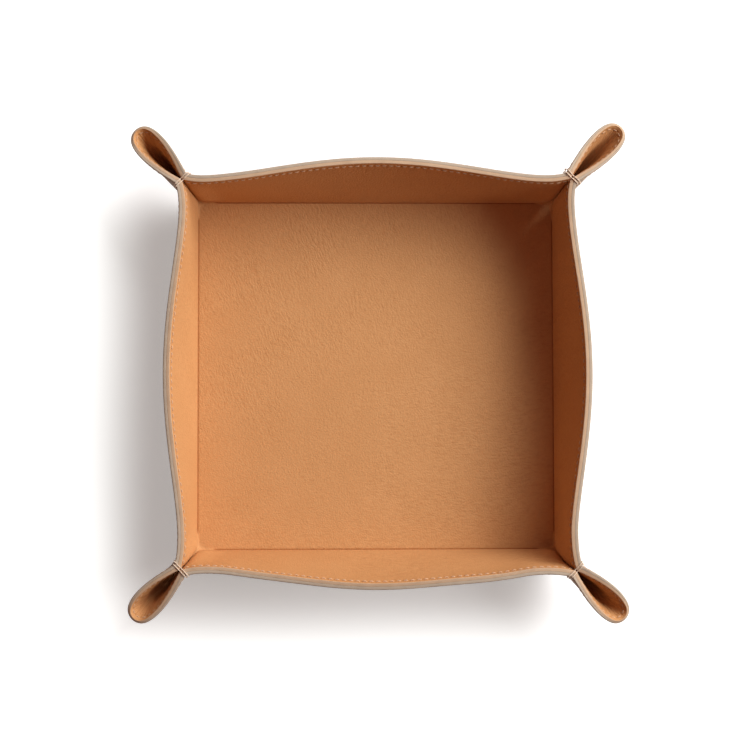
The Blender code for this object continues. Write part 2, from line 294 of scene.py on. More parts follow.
back_drops = (0.0008, 0.0040)
ear_mark_drop = 0.003
ear_mark_rate = 4
joint_half = layer_gap / 2 - joint_gap / 2

lining_back = lining_thickness * pared(2) + joint_half
lining_levels, lining_distances = rows_of(
    *[(level, 0) for level in face_levels],
    *[(below_rim(drop), 0) for drop in seam_drops],
    *edge_arc(0, inner_edge_radius, True),
    *edge_arc(lining_back, joint_edge_radius, False),
    *[(below_rim(drop), lining_back) for drop in back_drops],
    *[(level, lining_thickness * pared(level) + joint_half * np.clip(level, 0, 1))
      for level in back_levels])
face_rows = len(face_levels) + len(seam_drops)
edge_rows = face_rows + 2 * arc_points
row = np.arange(len(lining_levels))[:, None]
on_face = (row < face_rows) * 1.0
on_edge = ((row > face_rows + 1) & (row < edge_rows - 1)) * 1.0
# The crease mark sinks a small real groove along the crease and also darkens it as painted shade.
crease_mark = (hump(lining_levels, 0.5, crease_mark_width) * on_face
               * (1 - smooth_share(in_corner * crease_fade_rate)))
lining_drop = (2 - lining_levels) * wall_length
seam_groove = seam_depth * hump(lining_drop, seam_inset, seam_groove_width) * on_face
# The ear mark says where the ear's wrinkles lie: it sets their bump and their painted shade.
ear_mark = (smooth_share(ear_reach * ear_mark_rate) * smooth_share(lining_drop / ear_mark_drop)
            * smooth_share((lining_levels - 1) * ear_mark_rate) * on_face)

corner_from_share = 0.75
corner_moves = {(1, 1): ((-0.0004, 0.0), (0.0, 0.0010), (0.0, 0.0)),
                (-1, 1): ((-0.0004, -0.0007), (0.0021, -0.0013), (-0.0002, -0.0002)),
                (-1, -1): ((-0.00025, -0.00075), (0.0018, 0.0003), (0.0, 0.0)),
                (1, -1): ((0.0008, -0.00175), (-0.0003, -0.0005), (-0.0010, -0.0010))}
side_bows = ((0, 1, 0.0005), (1, -1, 0.0009))
front_swells = ((-0.066, 0.026, 0.0014), (0.062, 0.026, 0.0027))


def as_made(points):
    """Points moved a little, as hands fold no two corners alike: each corner's pinch, tip and
    lower fold have a move of their own, blended in by the height and by the place along the
    diagonal. The right and the front wall bow out a little more, by a squared cosine along
    them, and the front wall swells beside each corner, by a bell with a place, width and depth."""
    moved = points.copy()
    height = smooth_share((points[..., 2] - floor_level) / wall_rise)
    for (side_x, side_y), (pinch_move, tip_move, fold_move) in corner_moves.items():
        along = np.minimum(points[..., 0] * side_x / pinch_x, points[..., 1] * side_y / pinch_y)
        out = (points[..., 0] * side_x - pinch_x + points[..., 1] * side_y - pinch_y) * diagonal
        at_corner = smooth_share((along - corner_from_share) / (1 - corner_from_share)) * height
        at_tip = np.clip(out / ear_length, 0, 1.1) * at_corner
        at_fold = 4 * height * (1 - height) * at_corner
        for axis in range(2):
            moved[..., axis] += (at_corner * pinch_move[axis] + at_fold * fold_move[axis]
                                 + at_tip * (tip_move[axis] - pinch_move[axis]))
    halves = (pinch_x, pinch_y)
    for axis, side, depth in side_bows:
        way = np.clip(points[..., 1 - axis] / halves[1 - axis], -1, 1)
        bow = depth * np.cos(way * math.pi / 2) ** 2
        moved[..., axis] += side * bow * smooth_share(side * points[..., axis] / halves[axis]) * height
    swell = sum(depth * hump(points[..., 0], middle, width) for middle, width, depth in front_swells)
    moved[..., 1] -= swell * smooth_share(-points[..., 1] / pinch_y) * height
    return moved


def in_scene(name, data):
    """An object for a mesh, a lamp or a camera, linked into the scene."""
    made = bpy.data.objects.new(name, data)
    bpy.context.scene.collection.objects.link(made)
    return made


stitch_pitch = 0.00322
stitch_count = round(rim_run[-1] / stitch_pitch)


def skin(name, points, material, marks, drop):
    """A closed mesh over rows of closed rings, at the chosen steps round the tray: quads join each
    ring to the next, and the first and the last ring close onto their own middle.

    Marks are named values, one for each point. The UV map holds the stitches counted round the
    tray and the drop below the rim in metres.
    """
    points, drop = points[:, chosen], drop[:, chosen]
    run = rim_run[np.append(chosen, around)] / rim_run[-1] * stitch_count
    count, steps = points.shape[:2]
    index = np.arange(count * steps).reshape(count, steps)
    after = np.roll(index, -1, axis=1)
    quads = np.stack([index[:-1], index[1:], after[1:], after[:-1]], axis=-1).reshape(-1, 4)
    start, end = count * steps, count * steps + 1
    start_cap = np.stack([np.full(steps, start), index[0], after[0]], axis=-1)
    end_cap = np.stack([np.full(steps, end), after[-1], index[-1]], axis=-1)
    points = as_made(points)
    places = np.concatenate([points.reshape(-1, 3), [points[0].mean(axis=0)], [points[-1].mean(axis=0)]])
    corners = np.concatenate([quads.ravel(), start_cap.ravel(), end_cap.ravel()])
    sizes = np.concatenate([np.full(len(quads), 4), np.full(2 * steps, 3)])
    mesh = bpy.data.meshes.new(name)
    mesh.vertices.add(len(places))
    mesh.vertices.foreach_set("co", places.ravel())
    mesh.loops.add(len(corners))
    mesh.loops.foreach_set("vertex_index", corners)
    mesh.polygons.add(len(sizes))
    mesh.polygons.foreach_set("loop_start", np.concatenate([[0], np.cumsum(sizes)[:-1]]))
    run_of = np.stack([run[:-1], run[:-1], run[1:], run[1:]], axis=-1)
    run_quads = np.broadcast_to(run_of, (count - 1, steps, 4)).reshape(-1)
    run_caps = np.stack([run[:-1], run[:-1], run[1:]], axis=-1).ravel()
    drop_of = np.append(drop.ravel(), [drop[0].mean(), drop[-1].mean()])
    uv = mesh.uv_layers.new(name="rim")
    uv.data.foreach_set("uv", np.column_stack([np.concatenate([run_quads, run_caps, run_caps]),
                                               drop_of[corners]]).ravel())
    mesh.update(calc_edges=True)
    mesh.shade_smooth()
    for mark, values in marks.items():
        attribute = mesh.attributes.new(mark, "FLOAT", "POINT")
        values = values[:, chosen]
        values = np.append(values.ravel(), [values[0].mean(), values[-1].mean()])
        attribute.data.foreach_set("value", values.astype(np.float32))
    mesh.materials.append(material)
    return in_scene(name, mesh)


def add(tree, kind, inputs=(), **settings):
    """A node with its settings, and each input given as a value or as another node's output."""
    node = tree.nodes.new(kind)
    for name, value in settings.items():
        setattr(node, name, value)
    for name, value in dict(inputs).items():
        if isinstance(value, bpy.types.NodeSocket):
            tree.links.new(value, node.inputs[name])
        else:
            node.inputs[name].default_value = value
    return node


def maths(tree, operation, *values):
    """One step of arithmetic on values or outputs, and its output."""
    return add(tree, "ShaderNodeMath", dict(enumerate(values)), operation=operation).outputs[0]


def blended(tree, factor, first, second, how="MIX"):
    """A colour mixed from two, and its output."""
    mix = add(tree, "ShaderNodeMix", data_type="RGBA", blend_type=how)
    for place, value in ((0, factor), (6, first), (7, second)):
        if isinstance(value, bpy.types.NodeSocket):
            tree.links.new(value, mix.inputs[place])
        else:
            mix.inputs[place].default_value = value
    return mix.outputs[2]


def ramped(tree, value, start, end, low, high, how="LINEAR"):
    """Low to high as the value runs from start to end, held beyond both, and its output."""
    return add(tree, "ShaderNodeMapRange", {0: value, 1: start, 2: end, 3: low, 4: high},
               interpolation_type=how).outputs[0]


def new_group(name, takes, gives):
    """An empty shader node group with named inputs and outputs, and its two end nodes."""
    group = bpy.data.node_groups.new(name, "ShaderNodeTree")
    kinds = {"value": "NodeSocketFloat", "vector": "NodeSocketVector", "colour": "NodeSocketColor"}
    for socket, kind, start in takes:
        made = group.interface.new_socket(name=socket, in_out="INPUT", socket_type=kinds[kind])
        if start is not None:
            made.default_value = start
    for socket, kind in gives:
        group.interface.new_socket(name=socket, in_out="OUTPUT", socket_type=kinds[kind])
    return group, group.nodes.new("NodeGroupInput"), group.nodes.new("NodeGroupOutput")


def grain_group():
    """Leather grain: pebbles from cells, long soft wrinkles from noise stretched two ways, and
    fine pores. Height runs about 0 to 1, Hollows marks the valleys, which the leather darkens
    as painted shade, and Mottle the slow tone."""
    group, given, out = new_group(
        "leather_grain",
        [("Vector", "vector", None), ("Pebbles", "value", 0.4), ("Wrinkles", "value", 0.5),
         ("Pores", "value", 0.2)],
        [("Height", "value"), ("Hollows", "value"), ("Mottle", "value")])
    place = given.outputs["Vector"]
    drift = add(group, "ShaderNodeTexNoise", {"Vector": place, "Scale": 95, "Detail": 1.5})
    shift = add(group, "ShaderNodeVectorMath", {0: drift.outputs["Color"], 1: (0.5, 0.5, 0.5)},
                operation="SUBTRACT")
    warped = add(group, "ShaderNodeVectorMath",
                 {0: shift.outputs[0], 1: (0.004, 0.004, 0.004), 2: place}, operation="MULTIPLY_ADD")
    cells = add(group, "ShaderNodeTexVoronoi", {"Vector": warped.outputs[0], "Scale": 1250,
                                                "Smoothness": 0.35, "Randomness": 1},
                feature="SMOOTH_F1")
    pebble = maths(group, "SUBTRACT", 1, maths(group, "MULTIPLY", cells.outputs["Distance"], 1.1))
    streaks = []
    for turn, fine, long in ((-1.22, 1080, 360), (0.12, 980, 300)):
        turned = add(group, "ShaderNodeMapping",
                     {"Vector": warped.outputs[0], "Rotation": (0, 0, turn),
                      "Scale": (1 / long, 1 / fine, 1 / fine)}, vector_type="TEXTURE")
        streak = add(group, "ShaderNodeTexNoise", {"Vector": turned.outputs[0], "Scale": 1,
                                                   "Detail": 2, "Roughness": 0.45})
        streaks.append(streak.outputs["Fac"])
    parts = add(group, "ShaderNodeSeparateXYZ", {0: place})
    across = maths(group, "SUBTRACT", parts.outputs[0], parts.outputs[1])
    side = add(group, "ShaderNodeClamp", {0: maths(group, "MULTIPLY_ADD", across, 7, 0.5)})
    wrinkle = add(group, "ShaderNodeMix", {0: side.outputs[0], 2: streaks[0], 3: streaks[1]},
                  data_type="FLOAT").outputs[0]
    patch = add(group, "ShaderNodeTexNoise", {"Vector": place, "Scale": 38, "Detail": 1})
    strong = ramped(group, patch.outputs["Fac"], 0.38, 0.62, 0.35, 1.0)
    wrinkle_high = maths(group, "MULTIPLY", maths(group, "SUBTRACT", wrinkle, 0.5), strong)
    pores = add(group, "ShaderNodeTexNoise", {"Vector": place, "Scale": 2600, "Detail": 2})
    height = maths(group, "MULTIPLY", pebble, given.outputs["Pebbles"])
    height = maths(group, "MULTIPLY_ADD", wrinkle_high, given.outputs["Wrinkles"], height)
    height = maths(group, "MULTIPLY_ADD", pores.outputs["Fac"], given.outputs["Pores"], height)
    between = maths(group, "MULTIPLY", cells.outputs["Distance"], 0.55)
    hollows = add(group, "ShaderNodeClamp", {0: maths(group, "MULTIPLY_ADD", wrinkle_high, -2.6, between)})
    slow = add(group, "ShaderNodeTexNoise", {"Vector": place, "Scale": 55, "Detail": 3, "Roughness": 0.55})
    group.links.new(height, out.inputs["Height"])
    group.links.new(hollows.outputs[0], out.inputs["Hollows"])
    group.links.new(slow.outputs["Fac"], out.inputs["Mottle"])
    return group


def edge_group():
    """A cut and burnished edge: fibres as fine noise in the object's space, toned by a slower
    noise. Colour goes from the face's to the edge's by Edge, and Height is the fibres' roughness."""
    group, given, out = new_group(
        "burnished_edge",
        [("Rim", "vector", None), ("Vector", "vector", None), ("Edge", "value", 0),
         ("Face Color", "colour", None), ("Edge Color", "colour", None)],
        [("Color", "colour"), ("Height", "value")])
    fine = add(group, "ShaderNodeTexNoise", {"Vector": given.outputs["Vector"], "Scale": 3200, "Detail": 2})
    slow = add(group, "ShaderNodeTexNoise", {"Vector": given.outputs["Vector"], "Scale": 160, "Detail": 2})
    clouds = maths(group, "MULTIPLY_ADD", slow.outputs["Fac"], 0.3, 0.74)
    light = maths(group, "MULTIPLY_ADD", fine.outputs["Fac"], 0.22, clouds)
    toned = add(group, "ShaderNodeVectorMath", {0: given.outputs["Edge Color"]}, operation="SCALE")
    group.links.new(light, toned.inputs["Scale"])
    colour = blended(group, given.outputs["Edge"], given.outputs["Face Color"], toned.outputs[0])
    group.links.new(colour, out.inputs["Color"])
    fibres = maths(group, "MULTIPLY", fine.outputs["Fac"], given.outputs["Edge"])
    group.links.new(fibres, out.inputs["Height"])
    return group


hole_width = 0.0004
hole_sharpness = 14


def stitch_hole_group():
    """The stitch holes on the UV map, one at each whole stitch, which the leather dents and darkens
    as painted shade: a power of a cosine along the rim times a bell across it, at the seam's drop
    below the rim."""
    group, given, out = new_group("stitch_holes", [("Rim", "vector", None)], [("Hole", "value")])
    parts = add(group, "ShaderNodeSeparateXYZ", {0: given.outputs["Rim"]})
    wave = maths(group, "COSINE", maths(group, "MULTIPLY", parts.outputs[0], 2 * math.pi))
    along = maths(group, "POWER", maths(group, "MULTIPLY_ADD", wave, 0.5, 0.5), hole_sharpness)
    off = maths(group, "DIVIDE", maths(group, "SUBTRACT", parts.outputs[1], seam_inset), hole_width)
    across = maths(group, "EXPONENT", maths(group, "MULTIPLY", maths(group, "MULTIPLY", off, off), -1))
    group.links.new(maths(group, "MULTIPLY", along, across), out.inputs["Hole"])
    return group


def ear_wrinkle_group():
    """The lengthwise wrinkles of a pinched ear: noise on the UV map, narrow round the rim and
    long down the fold. Height runs about 0 to 1, and Shade marks the valleys, which the leather
    darkens as painted shade."""
    group, given, out = new_group("ear_wrinkles", [("Rim", "vector", None), ("Ear", "value", 0)],
                                  [("Height", "value"), ("Shade", "value")])
    placed = add(group, "ShaderNodeVectorMath", {0: given.outputs["Rim"], 1: (4, 60, 1)},
                 operation="MULTIPLY")
    folds = add(group, "ShaderNodeTexNoise", {"Vector": placed.outputs[0], "Scale": 1, "Detail": 3,
                                              "Roughness": 0.6, "Distortion": 0.4}).outputs["Fac"]
    height = maths(group, "MULTIPLY", folds, given.outputs["Ear"])
    dark = ramped(group, folds, 0.55, 0.40, 0, 1)
    group.links.new(height, out.inputs["Height"])
    group.links.new(maths(group, "MULTIPLY", dark, given.outputs["Ear"]), out.inputs["Shade"])
    return group


leather_grain = grain_group()
ear_wrinkles = ear_wrinkle_group()
burnished_edge = edge_group()
stitch_holes = stitch_hole_group()


# Painted shade: the colour is darkened towards this tint in the grain's hollows, the ear wrinkles' valleys,
# the crease line and the stitch holes, by the strengths below.
painted_shade_tint = (0.60, 0.42, 0.32, 1)
hollow_shade = 0.30
wrinkle_shade = 0.42
crease_shade = 1.05
hole_shade = 0.5
hole_dent = 0.8
fibre_height = 0.25
mottle_roughness = 0.14
edge_roughness = 0.12
grain_depth = 0.00022


def leather_material(name, light, deep, edge, pebbles, wrinkles, pores, fold_depth, roughness):
    """Leather: tone from the grain's mottle, painted shade in the grain's hollows, the ear wrinkles'
    valleys, the stitch holes and along the crease over its real groove, the cut edge's own colour
    and fibres, and grain, holes and fibres as one bump."""
    material = bpy.data.materials.new(name)
    material.use_nodes = True
    tree = material.node_tree
    shader = tree.nodes["Principled BSDF"]
    shader.inputs["Specular IOR Level"].default_value = 0.1
    place = add(tree, "ShaderNodeTexCoord").outputs["Object"]
    rim = add(tree, "ShaderNodeUVMap", uv_map="rim").outputs[0]
    grain = add(tree, "ShaderNodeGroup", node_tree=leather_grain)
    for socket, value in (("Pebbles", pebbles), ("Wrinkles", wrinkles), ("Pores", pores)):
        grain.inputs[socket].default_value = value
    tree.links.new(place, grain.inputs["Vector"])
    holes = add(tree, "ShaderNodeGroup", {"Rim": rim}, node_tree=stitch_holes)
    crease = add(tree, "ShaderNodeAttribute", attribute_name="crease").outputs["Fac"]
    cut = add(tree, "ShaderNodeAttribute", attribute_name="cut_edge").outputs["Fac"]
    ear = add(tree, "ShaderNodeAttribute", attribute_name="ear").outputs["Fac"]
    folds = add(tree, "ShaderNodeGroup", {"Rim": rim, "Ear": ear}, node_tree=ear_wrinkles)
    tone = blended(tree, grain.outputs["Mottle"], (*deep, 1), (*light, 1))
    # Painted shade: the darkest of the hollows, the wrinkle valleys, the crease line and the holes sets how
    # far the colour goes towards the shade tint.
    shade = maths(tree, "MULTIPLY", grain.outputs["Hollows"], hollow_shade)
    for mark, strength in ((folds.outputs["Shade"], wrinkle_shade), (crease, crease_shade),
                           (holes.outputs["Hole"], hole_shade)):
        shade = maths(tree, "MAXIMUM", shade, maths(tree, "MULTIPLY", mark, strength))
    darker = blended(tree, 1, tone, painted_shade_tint, "MULTIPLY")
    face = blended(tree, shade, tone, darker)
    ends = add(tree, "ShaderNodeGroup", {"Rim": rim, "Vector": place, "Edge": cut, "Face Color": face,
                                         "Edge Color": (*edge, 1)}, node_tree=burnished_edge)
    tree.links.new(ends.outputs["Color"], shader.inputs["Base Color"])
    rough = maths(tree, "MULTIPLY_ADD", grain.outputs["Mottle"], mottle_roughness, roughness)
    rough = maths(tree, "MULTIPLY_ADD", cut, edge_roughness, rough)
    tree.links.new(rough, shader.inputs["Roughness"])
    face_share = maths(tree, "SUBTRACT", 1, cut)
    height = maths(tree, "MULTIPLY", grain.outputs["Height"], face_share)
    for form, strength in ((holes.outputs["Hole"], -hole_dent), (folds.outputs["Height"], fold_depth),
                           (ends.outputs["Height"], fibre_height)):
        height = maths(tree, "MULTIPLY_ADD", form, strength, height)
    bump = add(tree, "ShaderNodeBump", {"Height": height, "Strength": 1, "Distance": grain_depth})
    tree.links.new(bump.outputs[0], shader.inputs["Normal"])
    return material


tan_lining = leather_material(
    "tan_lining_leather", light=(0.655, 0.345, 0.147), deep=(0.595, 0.300, 0.120),
    edge=(0.57, 0.40, 0.26), pebbles=0.40, wrinkles=1.0, pores=0.15, fold_depth=3.0, roughness=0.52)
lining_points = leather(lining_levels, lining_distances + crease_depth * crease_mark + seam_groove)
lining_cut = np.broadcast_to(on_edge, lining_levels.shape)
lining_marks = {"crease": crease_mark, "ear": ear_mark, "cut_edge": lining_cut}
lining = skin("lining_leather_tan", lining_points, tan_lining, lining_marks, lining_drop)
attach(lining, "root")
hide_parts("lining_leather")


# The outer layer: a second square of the same size in taupe cowhide, grain side out, glued to the
# lining and sewn to it round the rim. The board lies between the two under the base.

def outer_back(level):
    """How far the outer leather's inner face lies outside the lining's grain face."""
    under_base = (layer_gap + board_thickness) * np.clip(1 - level, 0, 1)
    return lining_thickness * pared(level) + layer_gap + under_base


def outer_front(level):
    """How far the outer leather's grain face lies outside the lining's grain face."""
    return outer_back(level) + outer_thickness * pared(level)


front_at_rim = outer_front(2)
back_at_rim = outer_back(2) - joint_half
outer_levels, outer_distances = rows_of(
    *[(level, outer_back(level) - joint_half * np.clip(level, 0, 1)) for level in back_levels[::-1]],
    *[(below_rim(drop), back_at_rim) for drop in back_drops[::-1]],
    *edge_arc(back_at_rim, joint_edge_radius, True),
    *edge_arc(front_at_rim, outer_edge_radius, False),
    *[(below_rim(drop), front_at_rim) for drop in seam_drops[::-1]],
    *[(level, outer_front(level)) for level in face_levels[::-1]])
outer_row = np.arange(len(outer_levels))[:, None]
last_back = len(back_levels) + len(back_drops)
first_front = last_back + 2 * arc_points
outer_face = (outer_row >= first_front) * 1.0
outer_edge = ((outer_row > last_back) & (outer_row < first_front - 4)) * 1.0
outer_drop = (2 - outer_levels) * wall_length
outer_groove = seam_depth * hump(outer_drop, seam_inset, seam_groove_width) * outer_face
outer_points = leather(outer_levels, outer_distances - outer_groove)
unmarked = np.zeros(outer_levels.shape)
outer_marks = {"crease": unmarked, "ear": unmarked,
               "cut_edge": np.broadcast_to(outer_edge, outer_levels.shape)}

taupe_outer = leather_material(
    "taupe_outer_leather", light=(0.44, 0.35, 0.265), deep=(0.365, 0.285, 0.21),
    edge=(0.50, 0.41, 0.31), pebbles=0.5, wrinkles=0.6, pores=0.12, fold_depth=0, roughness=0.55)
outer = skin("outer_leather_taupe", outer_points, taupe_outer, outer_marks, outer_drop)
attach(outer, "root")
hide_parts("outer_leather")


# The rim seam: a lock stitch in waxed linen thread, about eight stitches to the inch, with the
# needle thread on the lining and the bobbin thread outside. Each stitch dips into its holes.

seam_thread = 0.0006
stitch_sides = 6
stitch_rings = 8
stitch_share = 0.62
stitch_lift_share = 0.42
stitch_dip_share = 1.1
stitch_taper_share = 0.25
ear_sink_share = 0.27


def stitches(name, levels, distance, lift_sign, material):
    """One short tube for each stitch, along the seam's line on a face.

    Along a stitch the thread's height is a lift less a dip times the fifth power of the way from
    its middle, so it runs from a hole to just above the leather and back, a little deeper in the
    ears. It thins by the fourth power towards the holes. Round the tube the points lie on a circle.
    """
    line = leather(levels[None], np.broadcast_to(distance, (1, around)))[0]
    square = away(levels[None])[0] * lift_sign
    line, square = (np.concatenate([values, values[:1]]) for values in (line, square))
    way = np.linspace(-1, 1, stitch_rings)
    places = np.arange(stitch_count)[:, None] + 0.5 + way * stitch_share / 2
    places = places / stitch_count * rim_run[-1]
    middle = np.stack([np.interp(places, rim_run, line[:, axis]) for axis in range(3)], axis=-1)
    out = np.stack([np.interp(places, rim_run, square[:, axis]) for axis in range(3)], axis=-1)
    in_ear = np.interp(places, rim_run, np.append(ear_reach, ear_reach[0])) > 0
    rise = seam_thread * (stitch_lift_share - stitch_dip_share * np.abs(way) ** 5 - ear_sink_share * in_ear)
    middle = middle + out * rise[..., None]
    along = np.gradient(middle, axis=1)
    along = along / np.linalg.norm(along, axis=-1, keepdims=True)
    across = np.cross(along, out)
    across = across / np.linalg.norm(across, axis=-1, keepdims=True)
    up = np.cross(across, along)
    turns = np.arange(stitch_sides) / stitch_sides * 2 * math.pi
    radius = seam_thread / 2 * (1 - stitch_taper_share * np.abs(way) ** 4)
    ring = across[:, :, None] * np.cos(turns)[:, None] + up[:, :, None] * np.sin(turns)[:, None]
    points = middle[:, :, None] + ring * radius[:, None, None]
    index = np.arange(points[..., 0].size).reshape(points.shape[:3])
    after = np.roll(index, -1, axis=2)
    quads = np.stack([index[:, :-1], after[:, :-1], after[:, 1:], index[:, 1:]], axis=-1).reshape(-1, 4)
    caps = np.concatenate([index[:, 0, ::-1], index[:, -1]])
    mesh = bpy.data.meshes.new(name)
    mesh.from_pydata(as_made(points.reshape(-1, 3)), [], [*quads.tolist(), *caps.tolist()])
    mesh.shade_smooth()
    mesh.materials.append(material)
    return in_scene(name, mesh)


def thread_material(name, colour):
    """Waxed linen: fibres as fine noise in tone, roughness and bump."""
    material = bpy.data.materials.new(name)
    material.use_nodes = True
    tree = material.node_tree
    shader = tree.nodes["Principled BSDF"]
    shader.inputs["Specular IOR Level"].default_value = 0.35
    place = add(tree, "ShaderNodeTexCoord").outputs["Object"]
    fibre = add(tree, "ShaderNodeTexNoise", {"Vector": place, "Scale": 4200, "Detail": 3})
    tone = blended(tree, fibre.outputs["Fac"], (*[0.72 * c for c in colour], 1), (*colour, 1))
    tree.links.new(tone, shader.inputs["Base Color"])
    rough = maths(tree, "MULTIPLY_ADD", fibre.outputs["Fac"], 0.2, 0.5)
    tree.links.new(rough, shader.inputs["Roughness"])
    bump = add(tree, "ShaderNodeBump", {"Height": fibre.outputs["Fac"], "Strength": 0.6,
                                        "Distance": 0.00006})
    tree.links.new(bump.outputs[0], shader.inputs["Normal"])
    return material


tan_linen = thread_material("tan_linen_thread", (0.71, 0.45, 0.27))
needle = stitches("needle_stitches", below_rim(seam_inset), seam_depth, -1, tan_linen)
bobbin = stitches("bobbin_stitches", below_rim(seam_inset), front_at_rim - seam_depth, 1, tan_linen)
for piece, node in ((needle, "needle_thread"), (bobbin, "bobbin_thread")):
    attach(piece, "root")
    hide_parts(node)


# The corner tacks: at each pinch a linen thread goes twice through both walls and over both
# rims, and draws the ear shut. The thread is three plies twisted together.

tack_thread = 0.00055
tack_pitch = 0.0013
tack_depth = 0.0048
hole_entry = 0.0004
seam_clearance = 0.0012
rim_turn = 0.0008
rim_touch = 0.0001
tack_sides = 12
tack_plies = 3
ply_turn = 0.0016
ply_swell_share = 0.12
strand_spans = 8


def tack_route(ahead):
    """One turn of a tack at the +X +Y corner, up the X wall's face and over its rim to the pinch.

    It lies in the upright plane square to the ear's axis, a distance ahead of the pinch: each
    drop and distance is found on the leather's section where that plane cuts it.
    """
    total = front_at_rim[wall_steps]
    lift = tack_thread / 2
    section = [(tack_depth, total - hole_entry), (tack_depth, total + lift),
               (seam_inset + seam_clearance, total + lift),
               (seam_inset, total + lift + seam_thread * 0.6), (rim_turn, total + lift),
               (rim_touch, total + lift * 0.6), (-lift, total * 0.75), (-lift * 1.2, total * 0.5),
               (-lift, total * 0.2), (-lift * 0.2, -pinch_half_gap)]
    near = slice(wall_steps // 2, wall_steps + ear_steps // 4)
    square = away(np.full((1, around), 2.0))[0, near]
    route = []
    for drop, distance in section:
        climb = edge_slant * max(distance, 0) - drop
        places = rim_line[near] + wall_up[near] * climb + square * distance
        reached = (places[:, 0] - pinch_x + places[:, 1] - pinch_y) * diagonal
        route.append([np.interp(ahead, reached, values) for values in places.T])
    return np.array(route)


def smooth_path(points, spans):
    """A smooth line through the points: each span is a cubic whose ends lean as the chords do."""
    ends = np.concatenate([[2 * points[0] - points[1]], points, [2 * points[-1] - points[-2]]])
    before, start, end, after = ends[:-3], ends[1:-2], ends[2:-1], ends[3:]
    t = (np.arange(spans) / spans)[None, :, None]
    before, start, end, after = (values[:, None] for values in (before, start, end, after))
    line = 0.5 * (2 * start + (end - before) * t + (2 * before - 5 * start + 4 * end - after) * t ** 2
                  + (3 * start - before - 3 * end + after) * t ** 3)
    return np.concatenate([line.reshape(-1, 3), points[-1:]])


def twisted_thread(name, lines, diameter, material):
    """Tubes along lines: the radius swells once for each ply, and the swell moves round by one
    ply for each ply turn along the thread."""
    places, faces = [], []
    turns = np.arange(tack_sides) / tack_sides * 2 * math.pi
    for line in lines:
        along = np.gradient(line, axis=0)
        along = along / np.linalg.norm(along, axis=1, keepdims=True)
        across = np.cross(along, along[len(line) // 2 + 1] + np.array([0.0, 0.0, 1.0]))
        across = across / np.linalg.norm(across, axis=1, keepdims=True)
        up = np.cross(across, along)
        gone = np.concatenate([[0], np.cumsum(np.linalg.norm(np.diff(line, axis=0), axis=1))])
        phase = tack_plies * turns - gone[:, None] / ply_turn * 2 * math.pi
        swell = 1 - ply_swell_share + ply_swell_share * np.cos(phase)
        ring = across[:, None] * np.cos(turns)[:, None] + up[:, None] * np.sin(turns)[:, None]
        points = line[:, None] + ring * (diameter / 2 * swell)[..., None]
        index = np.arange(points[..., 0].size).reshape(points.shape[:2]) + sum(map(len, places))
        after = np.roll(index, -1, axis=1)
        faces += np.stack([index[:-1], after[:-1], after[1:], index[1:]], axis=-1).reshape(-1, 4).tolist()
        faces += [index[0, ::-1].tolist(), index[-1].tolist()]
        places.append(points.reshape(-1, 3))
    mesh = bpy.data.meshes.new(name)
    mesh.from_pydata(as_made(np.concatenate(places)), [], faces)
    mesh.shade_smooth()
    mesh.materials.append(material)
    return in_scene(name, mesh)


cream_linen = thread_material("cream_linen_thread", (0.90, 0.72, 0.55))
tack_places = {"back_right": (1, 1, 0.0012), "back_left": (-1, 1, 0.0),
               "front_left": (-1, -1, 0.0), "front_right": (1, -1, 0.0)}
for corner, (sign_x, sign_y, ahead) in tack_places.items():
    lines = []
    for half in (-0.5, 0.5):
        route = tack_route(ahead + half * tack_pitch)
        other = (route - [pinch_x, pinch_y, 0])[:, [1, 0, 2]] + [pinch_x, pinch_y, 0]
        strand = smooth_path(np.concatenate([route, other[::-1]]), strand_spans) * [sign_x, sign_y, 1]
        lines.append(strand[::1 if sign_x == sign_y else -1])
    tack = twisted_thread("tack_" + corner, lines, tack_thread, cream_linen)
    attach(tack, "root")
    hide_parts("corner_tack_" + corner)


# The board: a stiff sheet of grey fibre board, 1 mm thick, between the layers. It gives the
# creases their straight line. It keeps its solid and gets the speckle of pressed fibres.

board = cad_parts["base_board"]
fibre_board = bpy.data.materials.new("grey_fibre_board")
fibre_board.use_nodes = True
board_tree = fibre_board.node_tree
board_shader = board_tree.nodes["Principled BSDF"]
board_shader.inputs["Specular IOR Level"].default_value = 0.2
board_place = add(board_tree, "ShaderNodeTexCoord").outputs["Object"]
flecks = add(board_tree, "ShaderNodeTexNoise",
             {"Vector": board_place, "Scale": 1400, "Detail": 4, "Roughness": 0.6}).outputs["Fac"]
clouds = add(board_tree, "ShaderNodeTexNoise",
             {"Vector": board_place, "Scale": 90, "Detail": 2}).outputs["Fac"]
pulp = maths(board_tree, "MULTIPLY_ADD", flecks, 0.7, maths(board_tree, "MULTIPLY", clouds, 0.3))
board_tone = blended(board_tree, pulp, (0.19, 0.17, 0.15, 1), (0.40, 0.375, 0.34, 1))
board_tree.links.new(board_tone, board_shader.inputs["Base Color"])
board_tree.links.new(maths(board_tree, "MULTIPLY_ADD", pulp, 0.15, 0.8), board_shader.inputs["Roughness"])
board_bump = add(board_tree, "ShaderNodeBump", {"Height": flecks, "Strength": 0.5, "Distance": 0.0001})
board_tree.links.new(board_bump.outputs[0], board_shader.inputs["Normal"])
board.data.materials.clear()
board.data.materials.append(fibre_board)


# The studio: a plain white floor, one large soft lamp from the right and the back, and a faint
# warm sky. Rays that show the background find it white, and the floor keeps the tray's shadow.
# The floor's glow for those rays is weaker close round the tray and grows away from it: painted
# light that cuts the tail of the shadow short.

floor_size = 6.0
floor_drop = 0.0002
lamp_place = (1.080, 0.667, 0.977)
lamp_width = 2.12
lamp_height = 0.88
lamp_power = 44.6
sky_strength = 0.15
sky_colour = (1, 0.45, 0.36, 1)
glow_colour = (0.94, 1, 0.985, 1)
